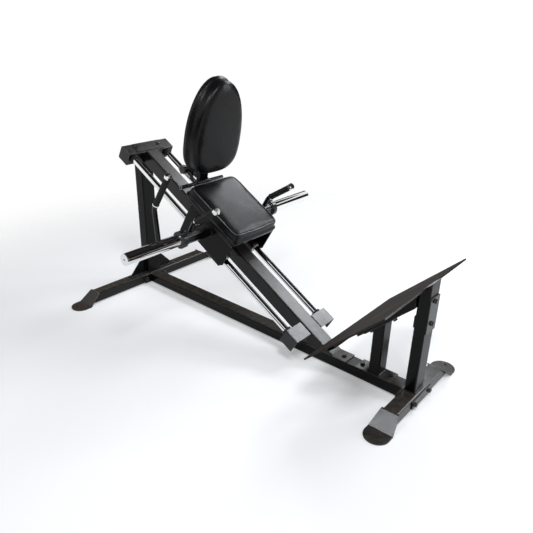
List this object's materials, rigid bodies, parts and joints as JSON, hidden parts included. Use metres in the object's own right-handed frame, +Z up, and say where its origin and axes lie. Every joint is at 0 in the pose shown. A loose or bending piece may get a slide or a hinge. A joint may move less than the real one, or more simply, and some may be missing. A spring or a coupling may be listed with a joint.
{
  "type": "leg press machine",
  "caption": "Incline leg press: a padded seat carriage with loading horns slides on guide rods beside a sloping rail towards a fixed foot plate.",
  "frame": {"origin": "On the floor midway between the centre lines of the two cross tubes, on the machine's middle plane.", "axes": "X from the head of the rail towards the foot plate, Y to the left of a seated user, Z up."},
  "size_m": [1.667, 1.154, 1.1091],
  "materials": {
    "frame_black": "satin",
    "tread_plate": "textured",
    "chrome_steel": "polished",
    "bolt_steel": "satin",
    "bearing_steel": "satin",
    "black_plastic": "gloss",
    "grip_rubber": "matte",
    "black_vinyl": "satin",
    "board_wood": "matte"
  },
  "bodies": {
    "frame": {"rear_cross_tube": "frame_black", "front_cross_tube": "frame_black", "rear_feet": "frame_black", "front_feet": "frame_black", "base_beam": "frame_black", "beam_flanges": "frame_black", "joint_bolts": "bolt_steel", "beam_bolts": "bolt_steel", "rear_upright": "frame_black", "upright_gussets": "frame_black", "head_seat": "frame_black", "head_block": "frame_black", "head_caps": "frame_black", "head_saddle": "frame_black", "head_bolts": "bolt_steel", "main_rail": "frame_black", "rail_foot_plate": "frame_black", "guide_rod_right": "chrome_steel", "guide_rod_left": "chrome_steel", "lower_block_right": "frame_black", "lower_block_left": "frame_black", "rod_nuts": "bolt_steel", "rod_buffers": "grip_rubber", "lock_stops": "frame_black", "front_post": "frame_black", "front_post_plate": "frame_black", "post_bolts": "bolt_steel", "short_post": "frame_black", "short_post_flanges": "frame_black", "foot_plate": "tread_plate", "foot_plate_channel": "frame_black", "foot_plate_bar": "frame_black"},
    "carriage": {"carriage_side_right": "frame_black", "carriage_side_left": "frame_black", "carriage_deck": "frame_black", "bearing_blocks": "frame_black", "linear_bearings": "bearing_steel", "horn_tube": "frame_black", "horn_collars": "black_plastic", "sleeve_right": "chrome_steel", "sleeve_left": "chrome_steel", "sleeve_plugs": "chrome_steel", "handle_tubes": "frame_black", "handle_grips": "grip_rubber", "handle_trims": "chrome_steel", "seat_board": "board_wood", "seat_pad": "black_vinyl", "hinge_lugs": "frame_black", "hinge_bar": "chrome_steel", "clamp_bracket": "frame_black"},
    "backrest": {"back_spine": "frame_black", "back_quadrant": "frame_black", "back_board": "board_wood", "back_pad": "black_vinyl"},
    "lock": {"lock_shaft": "frame_black", "lock_pawl": "frame_black", "lock_lever": "frame_black", "lock_grip": "grip_rubber", "lock_trim": "chrome_steel"},
    "knob": {"clamp_knob": "black_plastic"}
  },
  "joints": [
    {"name": "carriage_slide", "type": "slide", "parent": "frame", "child": "carriage", "axis": [0.8625, 0, -0.506], "range_m": [-0.4, 0.4]},
    {"name": "backrest_tilt", "type": "hinge", "parent": "carriage", "child": "backrest", "pos_m": [-0.35402, 0, 0.63371], "axis": [0, -1, 0], "range_deg": [0, 30]},
    {"name": "lock_turn", "type": "hinge", "parent": "carriage", "child": "lock", "pos_m": [-0.35868, 0, 0.41036], "axis": [0, -1, 0], "range_deg": [0, 20]},
    {"name": "knob_turn", "type": "hinge", "parent": "carriage", "child": "knob", "pos_m": [-0.44062, 0, 0.68371], "axis": [0, -1, 0], "continuous": true}
  ]
}
